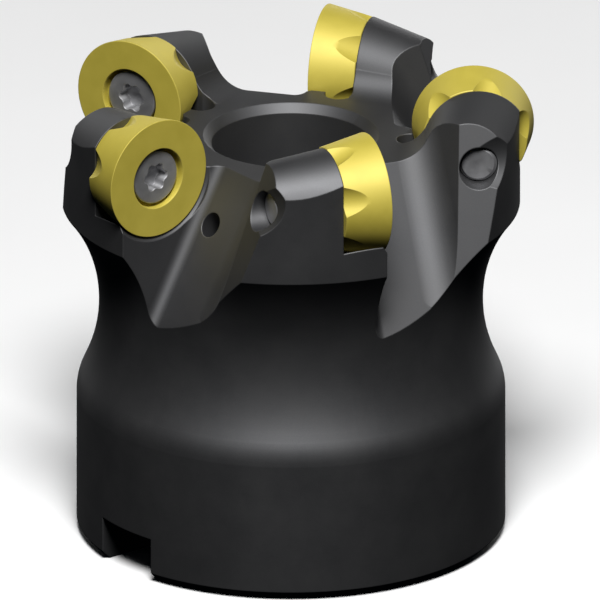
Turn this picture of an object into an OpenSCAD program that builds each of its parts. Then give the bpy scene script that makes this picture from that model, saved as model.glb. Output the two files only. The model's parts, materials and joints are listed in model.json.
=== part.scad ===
// Round-insert shell face mill: a one-piece cutter body carrying five round
// indexable inserts, each held by its own countersunk screw.
// Z = 0 is the rear face that seats on the arbor; the cutting end points up.

/* [Hub] */
// Diameter of the hub that seats on the arbor
hub_d = 44.45; // [43:0.05:46]
// Height of the straight part of the hub
hub_h = 14.9; // [13:0.1:16]
// Chamfer round the rear edge of the hub
hub_chamfer = 1.0; // [0.4:0.1:1.5]
// Width of the drive slot across the rear face
slot_w = 7.94; // [7:0.01:9]
// Depth of the drive slot
slot_depth = 4.76; // [4:0.01:6]

/* [Neck and core] */
// Smallest diameter of the waisted neck
waist_d = 39.8; // [38:0.1:41]
// Height of the smallest diameter above the rear face
waist_z = 25.0; // [24:0.1:26]
// Radius of the waist's hollow
waist_r = 17.5; // [17:0.1:18.5]
// Diameter of the band that carries the teeth
band_d = 47.5; // [47:0.1:47.8]
// Height of the flat front land of the core
land_z = 43.2; // [42.5:0.1:44]

/* [Bore] */
// Diameter of the arbor bore
bore_d = 19.05; // [18.8:0.05:19.3]
// Depth of the arbor bore from the rear face
bore_depth = 17.5; // [16:0.5:19]
// Clearance hole through the web for the arbor screw
web_hole_d = 10.2; // [9.8:0.1:11]
// Counterbore for the arbor screw's head, from the front
counterbore_d = 16.5; // [15.5:0.1:17]
// Height of the counterbore's floor above the rear face
counterbore_z = 24.0; // [22:0.5:28]
// Chamfer round the mouth of the counterbore
counterbore_chamfer = 0.85; // [0.3:0.05:1.2]

/* [Inserts] */
// Number of inserts round the cutter
insert_count = 5; // [3:1:5]
// Diameter of a round insert across its cutting edge
insert_d = 12.7; // [12:0.1:12.7]
// Thickness of an insert
insert_t = 4.76; // [4:0.02:5]
// Clearance angle of the insert's flank
insert_clearance = 11; // [7:1:13]
// Notches round the back of an insert, which stop it turning
notch_count = 6; // [4:1:8]
// Distance of the insert's centre from the cutter's axis
insert_u = 18.95; // [18.5:0.05:19.1]
// Height of the insert's centre above the rear face
insert_z = 43.6; // [43.2:0.1:44]
// How far the insert's face stands ahead of the cutter's axis
insert_face_n = 1.63; // [1.2:0.01:2]
// Diameter of the screw hole's mouth in the insert's face
insert_hole_d = 6.5; // [6.3:0.1:6.8]

/* [Screws] */
// Thread diameter of an insert screw
screw_d = 4.0; // [3.8:0.1:4.2]
// Diameter of the screw's countersunk head
screw_head_d = 5.7; // [5.4:0.1:5.8]
// How far the screw's axis leans, so that it draws the insert into its pocket
screw_lean = 1.6; // [1:0.2:2.4]
// Distance from the insert's face to the screw's far end
screw_reach = 11.1; // [10:0.1:11.4]

/* [Gullets] */
// Angle of the gullet's floor from the cutter's axis
gullet_angle = 30; // [29:0.2:31]
// Distance of the gullet's floor along its own normal
gullet_floor_w = 31.0; // [30.9:0.05:31.2]
// Width of the gullet's floor, from the insert's side to the far wall
gullet_floor_n = 8.9; // [8.5:0.1:9.4]
// Slope of the far wall above the floor
gullet_wall_slope = 61; // [58:1:64]
// Radius between the floor and the far wall
gullet_round = 4.8; // [4:0.2:5]
// Radius between the floor and the insert's side
gullet_corner = 1.2; // [0.8:0.1:1.5]
// Diameter of the coolant hole in each gullet
coolant_d = 2.5; // [2:0.1:2.8]
// Slope of the coolant hole below the horizontal, running inwards
coolant_slope = 50; // [40:1:60]

/* [Hidden] */

steel = [0.16, 0.16, 0.17];
gold = [0.72, 0.63, 0.27];
bright = [0.48, 0.48, 0.50];

eps = 0.01;
past = 1;                       // how far a cut starts outside the face it goes into
far = 60;                       // longer than anything on the cutter
fit = 0.05;                     // running clearance on a radius
seat_gap = 0.02;                // clearance behind an insert
step_deg = 360 / insert_count;
first_deg = 180;                // direction of the first insert from the axis

hub_r = hub_d / 2;
band_r = band_d / 2;
bore_r = bore_d / 2;
insert_r = insert_d / 2;
insert_back_r = insert_r - insert_t * tan(insert_clearance);
seat_n = insert_face_n - insert_t;

// The neck: a round shoulder on the hub runs smoothly into the waist's hollow.
hollow_x = waist_d / 2 + waist_r;
reach_x = hollow_x - hub_r;
reach_z = waist_z - hub_h;
shoulder_r = (reach_x * reach_x + reach_z * reach_z - waist_r * waist_r) / (2 * (waist_r - reach_x));
shoulder_x = hub_r - shoulder_r;
join = shoulder_r / (shoulder_r + waist_r);
join_x = shoulder_x + (hollow_x - shoulder_x) * join;
join_z = hub_h + reach_z * join;
band_z = waist_z + sqrt(waist_r * waist_r - pow(hollow_x - band_r, 2));

// The tooth: a tapered boss behind each insert, cut off by a leaning back face.
boss_front_r = 5.3;
boss_taper = 0.125;             // radius lost per millimetre going back
boss_inward = 12;               // degrees that the boss leans towards the axis
boss_down = 3.6;                // degrees that the boss leans towards the rear
boss_len = 12;
boss_root = 2;                  // runs ahead of the seat, where it is cut back

// The web: a hollow that touches both the land and the boss's side, with the space
// between it and the boss filled. Its axis leans less than the line where it meets the boss.
web_r = 3.5;
web_reach = boss_front_r + web_r;
web_rise = land_z + web_r - insert_z;
web_run = sqrt(web_reach * web_reach - web_rise * web_rise);
blend = boss_front_r / web_reach;
blend_u = insert_u - web_run * blend;
blend_z = insert_z + web_rise * blend;
web_inward = 2.7;
blend_inward = 3.9;
blend_down = 2.8;
web_past = 0.3;                 // the filling runs this far past the hollow's axis
web_root = 6;                   // how deep the filling stands below the line of touch
web_len = 10;

// The relief: a round recess in the land, at the inner end of the pocket.
relief_u = 12.35;
relief_n = -1.8;
relief_r = 1.5;
relief_down = 2.2;

// The tooth's back face and the way past it for a screwdriver.
back_lean = 0.33;               // back face: forward travel per millimetre of height
back_n = -10.6;                 // back face at the insert's height
driver_r = 4.25;
driver_out = 0.65;              // its axis stands this much further out than the screw's
driver_up = 0.8;                // and this much higher
driver_start = 30;              // where it starts and ends ahead of the insert's face
driver_end = 6;
pocket_chamfer = 0.45;
pocket_out = 6.5;               // room ahead of the insert's face for taking it out

// The gullet's ends, measured along its floor from the insert's height.
gullet_back = 24;
gullet_front = 10;
gullet_high = 17;               // height of the cut above the floor
clear_n = 7;                    // the floor runs on to the next tooth's back face from here
clear_len = 18;

// The coolant hole's mouth in the gullet's floor, from the insert's centre.
coolant_down = 5.7;
coolant_n = 4;
coolant_lead = 3;
coolant_len = 15;

// The insert's screw hole and the head that sits in it.
sink_half = 30;                 // half angle of the countersink
insert_hole_flat = 0.9;         // depth of the hole's straight mouth
insert_hole_back_d = 4.8;
notch_phase = 16;               // degrees from the outward direction to the first notch
notch_r = 4.2;                  // radius of the round cutter that leaves a notch
notch_lean = 30;                // it leans away from the insert's axis towards the face
notch_depth = 0.9;              // depth of a notch in the insert's back edge
notch_len = 20;
head_drop = 0.45;               // head's face below the insert's face
head_flat = 0.35;
socket_r = 1.55;
socket_depth = 1.3;
socket_lobe = 0.28;             // lobe radius as a share of the socket's
socket_core = 0.8;              // radius between lobes as a share of the socket's
screw_end = 0.3;                // chamfer on the screw's far end
screw_hole_len = 20;
bore_flare = 0.8;               // chamfer round the arbor bore's mouth
screw_pivot = 1.2;              // depth at which the two axes cross

module at_station(k) {
    rotate([0, 0, first_deg + k * step_deg]) children();
}

// Local frame of an insert: +Z is depth behind the cutting face, on the insert's axis.
module on_insert() {
    translate([insert_u, insert_face_n, insert_z]) rotate([90, 0, 0]) children();
}

// Same frame turned about the screw head, so that +Z runs along the screw.
module on_screw() {
    on_insert() translate([0, 0, screw_pivot]) rotate([screw_lean, 0, 0])
        translate([0, 0, -screw_pivot]) children();
}

module core_outline() {
    difference() {
        union() {
            polygon([[0, 0], [hub_r - hub_chamfer, 0], [hub_r, hub_chamfer],
                     [hub_r, hub_h], [0, hub_h]]);
            intersection() {
                translate([shoulder_x, hub_h]) circle(shoulder_r, $fn = 96);
                translate([0, hub_h - eps]) square([hub_r, join_z - hub_h + eps]);
            }
            polygon([[0, hub_h - eps], [shoulder_x, hub_h - eps], [join_x, join_z],
                     [hollow_x, waist_z], [band_r, band_z], [band_r, land_z], [0, land_z]]);
        }
        translate([hollow_x, waist_z]) circle(waist_r, $fn = 180);
    }
}

module bores() {
    flare_r = counterbore_d / 2 + counterbore_chamfer;
    rotate_extrude($fn = 180) polygon([
        [0, -bore_flare], [bore_r + 2 * bore_flare, -bore_flare],
        [bore_r, bore_flare], [bore_r, bore_depth],
        [web_hole_d / 2, bore_depth], [web_hole_d / 2, counterbore_z],
        [counterbore_d / 2, counterbore_z], [counterbore_d / 2, land_z - counterbore_chamfer],
        [flare_r + past, land_z + past], [0, land_z + past]]);
}

module drive_slot() {
    translate([-far / 2, -slot_w / 2, -past]) cube([far, slot_w, slot_depth + past]);
}

module boss() {
    translate([insert_u, seat_n, insert_z]) rotate([0, 0, -boss_inward])
        rotate([90 + boss_down, 0, 0]) translate([0, 0, -boss_root])
            cylinder(h = boss_len + boss_root, r1 = boss_front_r + boss_root * boss_taper,
                     r2 = boss_front_r - boss_len * boss_taper, $fn = 96);
}

module boss_web() {
    out = insert_u - blend_u;
    in = insert_u - web_run - blend_u - web_past;
    slope = web_rise / web_run;
    difference() {
        translate([blend_u, seat_n, blend_z]) rotate([0, 0, -blend_inward])
            rotate([90 + blend_down, 0, 0]) translate([0, 0, -boss_root])
                linear_extrude(web_len + boss_root)
                    polygon([[in, -in * slope], [out, -out * slope], [out, -web_root], [in, -web_root]]);
        translate([insert_u - web_run, seat_n, land_z + web_r]) rotate([0, 0, -web_inward])
            rotate([90, 0, 0]) translate([0, 0, -2 * boss_root])
                linear_extrude(web_len + 4 * boss_root) union() {
                    circle(web_r, $fn = 96);
                    translate([-2 * web_r, -web_r]) square([2 * web_r, 2 * web_r]);
                }
    }
}

module teeth() {
    intersection() {
        for (k = [0 : insert_count - 1]) at_station(k) {
            difference() {
                union() {
                    boss();
                    boss_web();
                }
                translate([0, seat_n, 0]) cube([far, far, far]);
            }
        }
        cylinder(h = far, r = band_r, $fn = 180);
    }
}

// Section of the gullet across its length: x is ahead of the insert's face, y rises off the floor.
module gullet_outline() {
    bend = 90 - gullet_wall_slope / 2;
    run = gullet_round * tan(gullet_wall_slope / 2);
    difference() {
        polygon([[0, 0], [gullet_floor_n, 0],
                 [gullet_floor_n + gullet_high / tan(gullet_wall_slope), gullet_high],
                 [0, gullet_high]]);
        difference() {
            square(gullet_corner);
            translate([gullet_corner, gullet_corner]) circle(gullet_corner, $fn = 48);
        }
        difference() {
            polygon([[gullet_floor_n - run, 0], [gullet_floor_n, 0],
                     [gullet_floor_n + run * cos(gullet_wall_slope), run * sin(gullet_wall_slope)],
                     [gullet_floor_n - run, gullet_round]]);
            translate([gullet_floor_n - run, gullet_round]) circle(gullet_round, $fn = 120);
        }
    }
}

// Distance of the gullet's floor from the cutter's axis at a height z.
function floor_u(z) = (gullet_floor_w - z * sin(gullet_angle)) / cos(gullet_angle);

module gullet() {
    translate([floor_u(insert_z), insert_face_n, insert_z]) rotate([0, -gullet_angle, 0])
        translate([0, 0, -gullet_back]) linear_extrude(gullet_back + gullet_front)
            mirror([1, -1]) gullet_outline();
}

// Clears the next tooth's leaning back face, down to the floor of this gullet.
module back_clearance() {
    intersection() {
        translate([floor_u(insert_z), clear_n, insert_z]) rotate([0, -gullet_angle, 0])
            translate([0, 0, -far / 2]) cube([far, clear_len, far]);
        rotate([0, 0, step_deg]) translate([0, back_n, insert_z]) rotate([-atan(back_lean), 0, 0])
            translate([-far, -far, -far]) cube([2 * far, far, 2 * far]);
    }
}

// Seats the insert and opens a way for it to come out forwards.
module pocket() {
    room_r = insert_r + fit;
    on_insert() rotate_extrude($fn = 96) polygon([
        [0, -pocket_out], [room_r + pocket_chamfer, -pocket_out], [room_r + pocket_chamfer, 0],
        [room_r, pocket_chamfer], [room_r, insert_t + seat_gap], [0, insert_t + seat_gap]]);
}

module relief() {
    translate([relief_u, relief_n, land_z - relief_down]) cylinder(h = far, r = relief_r, $fn = 48);
}

module screw_hole() {
    on_screw() cylinder(h = screw_hole_len, r = screw_d / 2 + fit, $fn = 48);
}

// Way in for the screwdriver, which grazes the back of the next tooth.
module driver_way() {
    translate([driver_out, 0, driver_up]) on_screw() translate([0, 0, -driver_start])
        cylinder(h = driver_start - driver_end, r = driver_r, $fn = 72);
}

// Runs from the gullet's floor down into the counterbore.
module coolant_hole() {
    mouth_z = insert_z - coolant_down;
    translate([floor_u(mouth_z), coolant_n, mouth_z]) rotate([0, -90 - coolant_slope, 0])
        translate([0, 0, -coolant_lead]) cylinder(h = coolant_len, d = coolant_d, $fn = 32);
}

module cutter_body() {
    color(steel) difference() {
        union() {
            rotate_extrude($fn = 180) core_outline();
            teeth();
        }
        bores();
        drive_slot();
        for (k = [0 : insert_count - 1]) at_station(k) {
            gullet();
            back_clearance();
            pocket();
            relief();
            screw_hole();
            driver_way();
            coolant_hole();
        }
    }
}

module round_insert() {
    neck_r = insert_hole_back_d / 2;
    mouth_r = insert_hole_d / 2;
    cone = (mouth_r - neck_r) / tan(sink_half);
    notch_c = insert_back_r - notch_depth + notch_r / cos(notch_lean);
    difference() {
        cylinder(h = insert_t, r1 = insert_r, r2 = insert_back_r, $fn = 96);
        translate([0, 0, -past]) cylinder(h = insert_t + 2 * past, r = neck_r, $fn = 64);
        translate([0, 0, -past]) cylinder(h = insert_hole_flat + past, r = mouth_r, $fn = 64);
        translate([0, 0, insert_hole_flat - eps])
            cylinder(h = cone, r1 = mouth_r, r2 = neck_r, $fn = 64);
        for (i = [0 : notch_count - 1]) rotate([0, 0, notch_phase + i * 360 / notch_count])
            translate([notch_c, 0, insert_t]) rotate([0, -notch_lean, 0])
                cylinder(h = notch_len, r = notch_r, center = true, $fn = 96);
    }
}

module insert_screw() {
    head_r = screw_head_d / 2;
    head_end = head_drop + head_flat;
    cone = (head_r - screw_d / 2) / tan(sink_half);
    difference() {
        union() {
            translate([0, 0, head_drop]) cylinder(h = head_flat, r = head_r, $fn = 64);
            translate([0, 0, head_end])
                cylinder(h = cone, r1 = head_r, r2 = screw_d / 2, $fn = 64);
            translate([0, 0, head_end])
                cylinder(h = screw_reach - head_end - screw_end, d = screw_d, $fn = 48);
            translate([0, 0, screw_reach - screw_end - eps])
                cylinder(h = screw_end, d1 = screw_d, d2 = screw_d - 2 * screw_end, $fn = 48);
        }
        translate([0, 0, head_drop - past])
            linear_extrude(socket_depth + past) socket_outline();
    }
}

// Six-lobed socket.
module socket_outline() {
    circle(socket_r * socket_core, $fn = 32);
    for (i = [0 : 5]) rotate(i * 60) translate([socket_r * (1 - socket_lobe), 0])
        circle(socket_r * socket_lobe, $fn = 24);
}

module insert_at(k) {
    color(gold) at_station(k) on_insert() round_insert();
}

module screw_at(k) {
    color(bright) at_station(k) on_screw() insert_screw();
}

cutter_body();
insert_at(0);  // insert_1
insert_at(1);  // insert_2
insert_at(2);  // insert_3
insert_at(3);  // insert_4
insert_at(4);  // insert_5
screw_at(0);  // insert_screw_1
screw_at(1);  // insert_screw_2
screw_at(2);  // insert_screw_3
screw_at(3);  // insert_screw_4
screw_at(4);  // insert_screw_5
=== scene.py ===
import json
import math

import bmesh
import bpy
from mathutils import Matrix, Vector


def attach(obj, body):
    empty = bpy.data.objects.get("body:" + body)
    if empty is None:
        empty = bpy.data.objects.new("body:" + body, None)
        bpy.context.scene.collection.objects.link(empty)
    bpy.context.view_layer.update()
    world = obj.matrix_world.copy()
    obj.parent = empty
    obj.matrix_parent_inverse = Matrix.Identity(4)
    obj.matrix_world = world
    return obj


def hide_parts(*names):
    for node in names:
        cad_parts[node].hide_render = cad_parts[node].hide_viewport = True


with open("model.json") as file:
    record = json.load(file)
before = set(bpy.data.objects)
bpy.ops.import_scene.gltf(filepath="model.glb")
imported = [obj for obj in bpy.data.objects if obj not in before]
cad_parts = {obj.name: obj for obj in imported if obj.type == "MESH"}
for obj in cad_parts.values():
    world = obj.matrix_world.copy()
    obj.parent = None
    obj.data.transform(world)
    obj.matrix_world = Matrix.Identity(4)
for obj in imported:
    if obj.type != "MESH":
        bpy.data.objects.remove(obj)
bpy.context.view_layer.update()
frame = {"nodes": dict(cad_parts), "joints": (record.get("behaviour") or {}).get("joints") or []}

# A round-insert face mill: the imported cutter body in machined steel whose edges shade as
# rounded, coated inserts, and threaded six-lobe screws built around the joints' own axes.

MM = 0.001

# ---------------------------------------------------------------- inserts, in mm
INSERT_R = 6.35
INSERT_T = 4.76
CLEARANCE = math.radians(11)
HOLE_R = 3.25
HOLE_BACK_R = 2.4
HOLE_FLAT = 0.9
NOTCHES = 6
NOTCH_PHASE = math.radians(16)
NOTCH_R = 2.4
NOTCH_LEAN = math.radians(30)
NOTCH_DEPTH = 0.9
SINK_HALF = math.radians(30)
MOUTH_EASE = 0.07
HOLE_BACK_CHAMFER = 0.08
BACK_CHAMFER = 0.06
HONE = 0.06
SUPPORT = 0.04                  # a ring this far past an eased edge keeps the next face flat
FACE_RING_R = 4.8
INSERT_STEPS = 288
FLANK_STEPS = 6
EDGE_STEPS = 8
INSERT_SHARP = 22               # degrees above which an edge stays sharp

# ---------------------------------------------------------------- screws, in mm
PIVOT = 1.2                     # depth below the insert's face at which the two axes cross
HEAD_R = 2.85
HEAD_DROP = 0.45
HEAD_FLAT = 0.35
SCREW_R = 2.0
PITCH = 0.7
THREAD_DEPTH = 0.38
SCREW_REACH = 11.1
THREAD_GAP = 0.25               # plain shank between the head's cone and the thread
THREAD_END = 0.3
SOCKET_R = 1.55
SOCKET_DEPTH = 1.3
SOCKET_LOBE = 0.28              # lobe radius as a share of the socket's
SOCKET_CORE = 0.8               # radius between lobes as a share of the socket's
SOCKET_SOFT = 14.0              # higher makes the corners between lobes sharper
SCREW_STEPS = 96
RINGS_PER_PITCH = 10
SCREW_SHARP = 38

STATIONS = 5

# ---------------------------------------------------------------- view and light
VIEW_AZ = math.radians(-38.9)
VIEW_EL = math.radians(21.8)
VIEW_WIDTH = 62.1762            # mm across the picture
VIEW_RIGHT = 0.933              # mm from the cutter's axis to the picture's middle
VIEW_UP = 23.005
VIEW_DISTANCE = 0.4             # m
LIGHT_DISTANCE = 0.6            # m
LIGHT_TARGET_Z = 0.03
KEY_EL, KEY_SIZE, KEY_POWER = 56, 0.22, 5.1
REAR_AZ, REAR_EL, REAR_SIZE = 158, 8, 0.3
REAR_RIGHT_POWER, REAR_LEFT_POWER = 0.9, 0.5
FLOOR_HALF = 1.6                # m


# ---------------------------------------------------------------- node helpers
def new_material(name):
    mat = bpy.data.materials.new(name)
    mat.use_nodes = True
    nodes = mat.node_tree.nodes
    nodes.clear()
    shader = nodes.new("ShaderNodeBsdfPrincipled")
    out = nodes.new("ShaderNodeOutputMaterial")
    mat.node_tree.links.new(shader.outputs[0], out.inputs[0])
    return mat, mat.node_tree, shader


def add(tree, kind, **values):
    node = tree.nodes.new(kind)
    for key, value in values.items():
        setattr(node, key, value)
    return node


def noise(tree, vector, scale, detail=4.0, roughness=0.55):
    node = add(tree, "ShaderNodeTexNoise")
    node.inputs["Scale"].default_value = scale
    node.inputs["Detail"].default_value = detail
    node.inputs["Roughness"].default_value = roughness
    tree.links.new(vector, node.inputs["Vector"])
    return node.outputs["Fac"]


def ramp(tree, fac, low, high, from_min=0.3, from_max=0.7):
    node = add(tree, "ShaderNodeMapRange")
    node.inputs["From Min"].default_value = from_min
    node.inputs["From Max"].default_value = from_max
    node.inputs["To Min"].default_value = low
    node.inputs["To Max"].default_value = high
    tree.links.new(fac, node.inputs["Value"])
    return node.outputs[0]


def mix_colour(tree, fac, a, b):
    node = add(tree, "ShaderNodeMix", data_type="RGBA")
    tree.links.new(fac, node.inputs[0])
    for socket, value in ((node.inputs[6], a), (node.inputs[7], b)):
        if isinstance(value, tuple):
            socket.default_value = (*value, 1.0)
        else:
            tree.links.new(value, socket)
    return node.outputs[2]


def rounded_edges(tree, radius):
    """A normal that turns round sharp edges, and a mask that is 1 where it turns most."""
    bevel = add(tree, "ShaderNodeBevel", samples=8)
    bevel.inputs["Radius"].default_value = radius
    geometry = add(tree, "ShaderNodeNewGeometry")
    dot = add(tree, "ShaderNodeVectorMath", operation="DOT_PRODUCT")
    tree.links.new(bevel.outputs[0], dot.inputs[0])
    tree.links.new(geometry.outputs["Normal"], dot.inputs[1])
    return bevel.outputs[0], ramp(tree, dot.outputs["Value"], 1.0, 0.0, 0.86, 0.99)


def bump(tree, height, strength, distance, normal=None):
    node = add(tree, "ShaderNodeBump")
    node.inputs["Strength"].default_value = strength
    node.inputs["Distance"].default_value = distance
    tree.links.new(height, node.inputs["Height"])
    if normal is not None:
        tree.links.new(normal, node.inputs["Normal"])
    return node.outputs[0]


def object_coords(tree):
    return add(tree, "ShaderNodeTexCoord").outputs["Object"]


def lathe_coords(tree, coords):
    """Coordinates that vary with radius and height only, so that noise makes turning marks."""
    split = add(tree, "ShaderNodeSeparateXYZ")
    tree.links.new(coords, split.inputs[0])
    square = []
    for axis in (0, 1):
        node = add(tree, "ShaderNodeMath", operation="MULTIPLY")
        tree.links.new(split.outputs[axis], node.inputs[0])
        tree.links.new(split.outputs[axis], node.inputs[1])
        square.append(node.outputs[0])
    total = add(tree, "ShaderNodeMath", operation="ADD")
    tree.links.new(square[0], total.inputs[0])
    tree.links.new(square[1], total.inputs[1])
    root = add(tree, "ShaderNodeMath", operation="SQRT")
    tree.links.new(total.outputs[0], root.inputs[0])
    join = add(tree, "ShaderNodeCombineXYZ")
    tree.links.new(root.outputs[0], join.inputs[0])
    tree.links.new(split.outputs[2], join.inputs[2])
    return join.outputs[0]


# ---------------------------------------------------------------- materials
def steel_body():
    mat, tree, shader = new_material("machined_steel")
    coords = object_coords(tree)
    rings = noise(tree, lathe_coords(tree, coords), 5200.0, 3.0, 0.6)
    grain = noise(tree, coords, 9000.0, 2.0, 0.5)
    cloud = noise(tree, coords, 140.0, 4.0, 0.6)
    rounded, edges = rounded_edges(tree, 0.00018)
    base = mix_colour(tree, ramp(tree, cloud, 0.0, 1.0), (0.116, 0.117, 0.122), (0.131, 0.131, 0.134))
    speck = mix_colour(tree, ramp(tree, grain, 0.0, 0.3), base, (0.155, 0.155, 0.157))
    worn = mix_colour(tree, ramp(tree, edges, 0.0, 0.5, 0.0, 1.0), speck, (0.190, 0.190, 0.193))
    tree.links.new(worn, shader.inputs["Base Color"])
    shader.inputs["Metallic"].default_value = 1.0
    tree.links.new(ramp(tree, cloud, 0.585, 0.63), shader.inputs["Roughness"])
    ring_bump = bump(tree, rings, 0.06, 0.00002, rounded)
    tree.links.new(bump(tree, grain, 0.06, 0.00001, ring_bump), shader.inputs["Normal"])
    return mat


def gold_coating():
    mat, tree, shader = new_material("gold_coating")
    coords = object_coords(tree)
    cloud = noise(tree, coords, 420.0, 4.0, 0.6)
    grain = noise(tree, coords, 14000.0, 2.0, 0.5)
    rounded, edges = rounded_edges(tree, 0.00008)
    base = mix_colour(tree, ramp(tree, cloud, 0.0, 1.0), (0.585, 0.480, 0.050), (0.625, 0.515, 0.062))
    speck = mix_colour(tree, ramp(tree, grain, 0.0, 0.2), base, (0.67, 0.57, 0.09))
    worn = mix_colour(tree, ramp(tree, edges, 0.0, 0.5, 0.0, 1.0), speck, (0.76, 0.68, 0.26))
    tree.links.new(worn, shader.inputs["Base Color"])
    shader.inputs["Metallic"].default_value = 0.4
    shader.inputs["Coat Weight"].default_value = 0.3
    shader.inputs["Coat Roughness"].default_value = 0.6
    shader.inputs["Coat IOR"].default_value = 2.2
    tree.links.new(ramp(tree, cloud, 0.62, 0.70), shader.inputs["Roughness"])
    tree.links.new(bump(tree, grain, 0.08, 0.00002, rounded), shader.inputs["Normal"])
    return mat


def screw_steel():
    mat, tree, shader = new_material("screw_steel")
    coords = object_coords(tree)
    cloud = noise(tree, coords, 600.0, 4.0, 0.6)
    grain = noise(tree, coords, 12000.0, 2.0, 0.5)
    rounded, edges = rounded_edges(tree, 0.00006)
    base = mix_colour(tree, ramp(tree, cloud, 0.0, 1.0), (0.41, 0.41, 0.42), (0.48, 0.48, 0.49))
    worn = mix_colour(tree, ramp(tree, edges, 0.0, 0.6, 0.0, 1.0), base, (0.68, 0.68, 0.69))
    tree.links.new(worn, shader.inputs["Base Color"])
    shader.inputs["Metallic"].default_value = 1.0
    tree.links.new(ramp(tree, cloud, 0.58, 0.68), shader.inputs["Roughness"])
    tree.links.new(bump(tree, grain, 0.08, 0.00002, rounded), shader.inputs["Normal"])
    return mat


BODY_STEEL = steel_body()
GOLD = gold_coating()
SCREW_STEEL = screw_steel()


# ---------------------------------------------------------------- mesh helpers
def ring_mesh(name, rings, capped, frame_of, mat, sharp_deg):
    """Joins rings of (x, y, z) points in mm, placed by frame_of, into one closed mesh."""
    bm = bmesh.new()
    rows = [[bm.verts.new(frame_of(*p)) for p in ring] for ring in rings]
    count = len(rows[0])
    pairs = list(zip(rows, rows[1:]))
    if not capped:
        pairs.append((rows[-1], rows[0]))
    for low, high in pairs:
        for i in range(count):
            j = (i + 1) % count
            bm.faces.new((low[i], low[j], high[j], high[i]))
    if capped:
        bm.faces.new(rows[0][::-1])
        bm.faces.new(rows[-1])
    bmesh.ops.recalc_face_normals(bm, faces=bm.faces)
    mesh = bpy.data.meshes.new(name)
    bm.to_mesh(mesh)
    bm.free()
    mesh.shade_smooth()
    mesh.set_sharp_from_angle(angle=math.radians(sharp_deg))
    mesh.materials.append(mat)
    piece = bpy.data.objects.new(name, mesh)
    bpy.context.scene.collection.objects.link(piece)
    return piece


def hand_over(piece, node):
    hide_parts(node)
    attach(piece, node)


def turn_joint(k):
    for joint in frame["joints"]:
        if joint["name"] == "insert_screw_%d_turn" % k:
            return Vector(joint["pos_m"]), Vector(joint["axis"]).normalized()
    raise KeyError(k)


# ---------------------------------------------------------------- inserts
def flank_r(z):
    return INSERT_R - z * math.tan(CLEARANCE)


NOTCH_C = flank_r(INSERT_T) - NOTCH_DEPTH + NOTCH_R / math.cos(NOTCH_LEAN)


def notch_side(r, z, delta):
    """Above zero inside the leaning round cutter that leaves a notch."""
    across = r * math.sin(delta)
    reach = (r * math.cos(delta) - NOTCH_C) * math.cos(NOTCH_LEAN) + (z - INSERT_T) * math.sin(NOTCH_LEAN)
    return reach + math.sqrt(max(NOTCH_R ** 2 - across ** 2, 0.0))


def bisect(low, high, test):
    for _ in range(30):
        mid = (low + high) / 2
        if test(mid) > 0:
            high = mid
        else:
            low = mid
    return (low + high) / 2


def back_edge(delta):
    """Points down the insert's back edge at one angle: a notch, or a fine chamfer."""
    start = INSERT_T - BACK_CHAMFER
    if notch_side(flank_r(start), start, delta) > 0:
        start = bisect(0.5, start, lambda z: notch_side(flank_r(z), z, delta))
        points = [(flank_r(start), start)]
        for i in range(1, EDGE_STEPS + 1):
            z = start + (INSERT_T - start) * i / EDGE_STEPS
            points.append((bisect(3.0, flank_r(z), lambda r: notch_side(r, z, delta)), z))
        return points
    notch_r = bisect(3.0, 6.0, lambda r: notch_side(r, INSERT_T, delta))
    fall = min(flank_r(INSERT_T) - BACK_CHAMFER, notch_r) - flank_r(start)
    return [(flank_r(start) + fall * i / EDGE_STEPS, start + BACK_CHAMFER * i / EDGE_STEPS)
            for i in range(EDGE_STEPS + 1)]


def insert_section(theta):
    """(radius, depth) points round the insert's section at one angle."""
    period = 2 * math.pi / NOTCHES
    delta = (theta - NOTCH_PHASE + period / 2) % period - period / 2
    sink_end = HOLE_FLAT + (HOLE_R - HOLE_BACK_R) / math.tan(SINK_HALF)
    back_mouth = HOLE_BACK_R + HOLE_BACK_CHAMFER
    flank_start = MOUTH_EASE + SUPPORT
    points = [(back_mouth, INSERT_T), (HOLE_BACK_R, INSERT_T - HOLE_BACK_CHAMFER),
              (HOLE_BACK_R, sink_end), (HOLE_R, HOLE_FLAT),
              (HOLE_R, MOUTH_EASE), (HOLE_R + 0.02, 0.02), (HOLE_R + MOUTH_EASE, 0.0),
              (HOLE_R + MOUTH_EASE + SUPPORT, 0.0), (FACE_RING_R, 0.0),
              (INSERT_R - HONE - SUPPORT, 0.0), (INSERT_R - HONE, 0.0), (INSERT_R - 0.022, 0.02),
              (flank_r(MOUTH_EASE), MOUTH_EASE), (flank_r(flank_start), flank_start)]
    edge = back_edge(delta)
    rise = (edge[0][1] - flank_start) / FLANK_STEPS
    for i in range(1, FLANK_STEPS):
        points.append((flank_r(flank_start + rise * i), flank_start + rise * i))
    points += edge
    inner = edge[-1][0]
    points += [(inner + (back_mouth - inner) * t, INSERT_T) for t in (0.25, 0.6)]
    return points


def on_circle(r, angle, z):
    return r * math.cos(angle), r * math.sin(angle), z


def build_insert(k):
    pivot, axis = turn_joint(k)
    ahead = Vector((axis.x, axis.y, 0)).normalized()
    out = Vector((ahead.y, -ahead.x, 0))
    up = Vector((0, 0, 1))
    face = pivot + ahead * (PIVOT * MM)

    def frame_of(x, y, z):
        return face + (out * x + up * y - ahead * z) * MM

    columns = []
    for i in range(INSERT_STEPS):
        theta = 2 * math.pi * i / INSERT_STEPS
        columns.append([on_circle(r, theta, z) for r, z in insert_section(theta)])
    rings = [[column[j] for column in columns] for j in range(len(columns[0]))]
    piece = ring_mesh("round_insert_%d" % k, rings, False, frame_of, GOLD, INSERT_SHARP)
    hand_over(piece, "insert_%d" % k)


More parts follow.
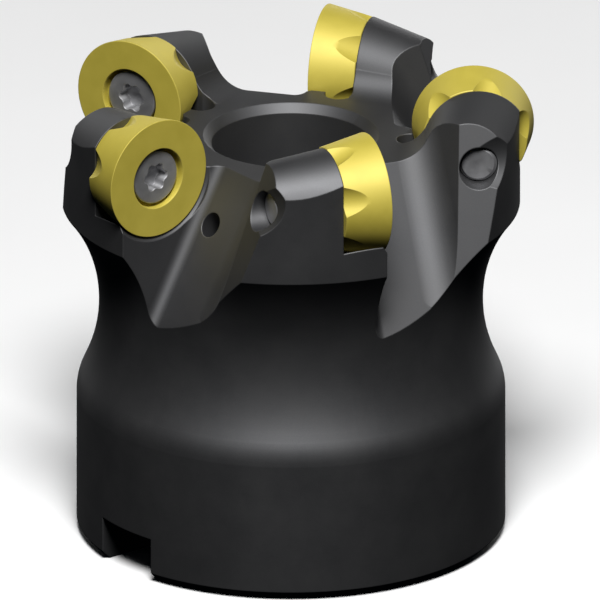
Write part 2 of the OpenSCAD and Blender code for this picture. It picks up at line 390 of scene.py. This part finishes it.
# ---------------------------------------------------------------- screws
def socket_r(theta):
    """Six-lobed outline with eased hollows between the lobes."""
    delta = (theta + math.pi / 6) % (math.pi / 3) - math.pi / 6
    lobe, centre, core = SOCKET_LOBE * SOCKET_R, (1 - SOCKET_LOBE) * SOCKET_R, SOCKET_CORE * SOCKET_R
    inside = max(lobe ** 2 - (centre * math.sin(delta)) ** 2, 0.0)
    reach = centre * math.cos(delta) + math.sqrt(inside)
    both = math.exp(SOCKET_SOFT * reach) + math.exp(SOCKET_SOFT * core)
    return min(SOCKET_R, math.log(both) / SOCKET_SOFT)


def thread_r(theta, z, start, end):
    """Radius of a right-hand thread with flat crests and roots, fading in below the head."""
    phase = ((z - theta * PITCH / (2 * math.pi)) / PITCH) % 1.0
    rise = abs(phase - 0.5) * 2
    tooth = min(max((0.86 - rise) / 0.72, 0.0), 1.0)
    fade = min(1.0, max(0.0, (z - start) / PITCH))
    depth = THREAD_DEPTH * (1 - tooth) * fade
    limit = SCREW_R - max(0.0, z - (end - THREAD_END)) * 1.2
    return min(SCREW_R - depth, limit)


def head_levels(cone_end):
    """From the socket's middle to the end of the head's cone, as (radius, depth) at an angle."""
    top = HEAD_DROP
    floor = top + SOCKET_DEPTH
    side = top + HEAD_FLAT
    wall = 0.04
    return [
        lambda a: (0.12, floor + 0.3),
        lambda a: (0.7, floor + 0.12),
        lambda a: (socket_r(a) - 2 * wall, floor),
        lambda a: (socket_r(a) - wall, floor - 0.1),
        lambda a: (socket_r(a) - wall, top + 0.1),
        lambda a: (socket_r(a) + 0.03, top),
        lambda a: (socket_r(a) + 0.07, top),
        lambda a: ((socket_r(a) + HEAD_R) / 2, top),
        lambda a: (HEAD_R - 0.2, top),
        lambda a: (HEAD_R - 0.14, top),
        lambda a: (HEAD_R - 0.05, top + 0.035),
        lambda a: (HEAD_R, top + 0.13),
        lambda a: (HEAD_R, side),
        lambda a: ((HEAD_R + SCREW_R) / 2, (side + cone_end) / 2),
        lambda a: (SCREW_R, cone_end)]


def build_screw(k):
    pivot, axis = turn_joint(k)
    out = Vector((axis.y, -axis.x, 0)).normalized()
    deep = -axis
    up = deep.cross(out)
    face = pivot - deep * (PIVOT * MM)

    def frame_of(x, y, z):
        return face + (out * x + up * y + deep * z) * MM

    angles = [2 * math.pi * i / SCREW_STEPS for i in range(SCREW_STEPS)]
    cone_end = HEAD_DROP + HEAD_FLAT + (HEAD_R - SCREW_R) / math.tan(SINK_HALF)
    rings = []
    for level in head_levels(cone_end):
        rings.append([on_circle(level(a)[0], a, level(a)[1]) for a in angles])
    start, end = cone_end + THREAD_GAP, SCREW_REACH - 0.01
    count = int((end - start) / PITCH * RINGS_PER_PITCH)
    for i in range(count + 1):
        z = start + (end - start) * i / count
        rings.append([on_circle(thread_r(a, z, start, end), a, z) for a in angles])
    rings.append([on_circle(SCREW_R / 2, a, end) for a in angles])
    piece = ring_mesh("insert_screw_piece_%d" % k, rings, True, frame_of, SCREW_STEEL, SCREW_SHARP)
    hand_over(piece, "insert_screw_%d" % k)


# ---------------------------------------------------------------- body
body = frame["nodes"]["cutter_body"]
body.data.materials.clear()
body.data.materials.append(BODY_STEEL)
for k in range(1, STATIONS + 1):
    build_insert(k)
    build_screw(k)


# ---------------------------------------------------------------- stage, lights, camera
def toward(azimuth, elevation):
    """Unit direction from the object, in radians: azimuth 0 is along -Y."""
    flat = math.cos(elevation)
    return Vector((math.sin(azimuth) * flat, -math.cos(azimuth) * flat, math.sin(elevation)))


BACK = toward(VIEW_AZ, VIEW_EL)
RIGHT = Vector((math.cos(VIEW_AZ), math.sin(VIEW_AZ), 0))
UP = BACK.cross(RIGHT)


def make_stage():
    bm = bmesh.new()
    signs = ((-1, -1), (1, -1), (1, 1), (-1, 1))
    bm.faces.new([bm.verts.new((x * FLOOR_HALF, y * FLOOR_HALF, 0)) for x, y in signs])
    mesh = bpy.data.meshes.new("floor")
    bm.to_mesh(mesh)
    bm.free()
    floor = bpy.data.objects.new("floor", mesh)
    bpy.context.scene.collection.objects.link(floor)
    mat, tree, shader = new_material("pale_floor")
    cloud = noise(tree, object_coords(tree), 30.0)
    shade = mix_colour(tree, ramp(tree, cloud, 0.0, 1.0), (0.93, 0.93, 0.93), (0.95, 0.95, 0.95))
    tree.links.new(shade, shader.inputs["Base Color"])
    shader.inputs["Roughness"].default_value = 0.9
    mesh.materials.append(mat)
    floor.visible_glossy = False
    floor.visible_diffuse = False


def area_light(name, azimuth, elevation, size, power):
    data = bpy.data.lights.new(name, "AREA")
    data.shape = "DISK"
    data.size = size
    data.energy = power
    light = bpy.data.objects.new(name, data)
    bpy.context.scene.collection.objects.link(light)
    direction = toward(azimuth, math.radians(elevation))
    light.location = Vector((0, 0, LIGHT_TARGET_Z)) + direction * LIGHT_DISTANCE
    light.rotation_mode = "QUATERNION"
    light.rotation_quaternion = (-direction).to_track_quat("-Z", "Y")


def make_lights():
    rear = math.radians(REAR_AZ)
    area_light("key", VIEW_AZ, KEY_EL, KEY_SIZE, KEY_POWER)
    area_light("rear_right", VIEW_AZ + rear, REAR_EL, REAR_SIZE, REAR_RIGHT_POWER)
    area_light("rear_left", VIEW_AZ - rear, REAR_EL, REAR_SIZE, REAR_LEFT_POWER)
    world = bpy.data.worlds.new("studio")
    world.use_nodes = True
    background = world.node_tree.nodes["Background"]
    background.inputs[0].default_value = (0.5, 0.75, 1, 1)
    background.inputs[1].default_value = 0.004
    bpy.context.scene.world = world
    bpy.context.scene.view_settings.view_transform = "Standard"


def make_camera():
    data = bpy.data.cameras.new("camera")
    data.type = "ORTHO"
    data.ortho_scale = VIEW_WIDTH * MM
    camera = bpy.data.objects.new("camera", data)
    bpy.context.scene.collection.objects.link(camera)
    aim = RIGHT * (VIEW_RIGHT * MM) + UP * (VIEW_UP * MM)
    camera.location = aim + BACK * VIEW_DISTANCE
    camera.rotation_mode = "QUATERNION"
    camera.rotation_quaternion = (-BACK).to_track_quat("-Z", "Y")
    data.clip_end = 10
    bpy.context.scene.camera = camera


make_stage()
make_lights()
make_camera()
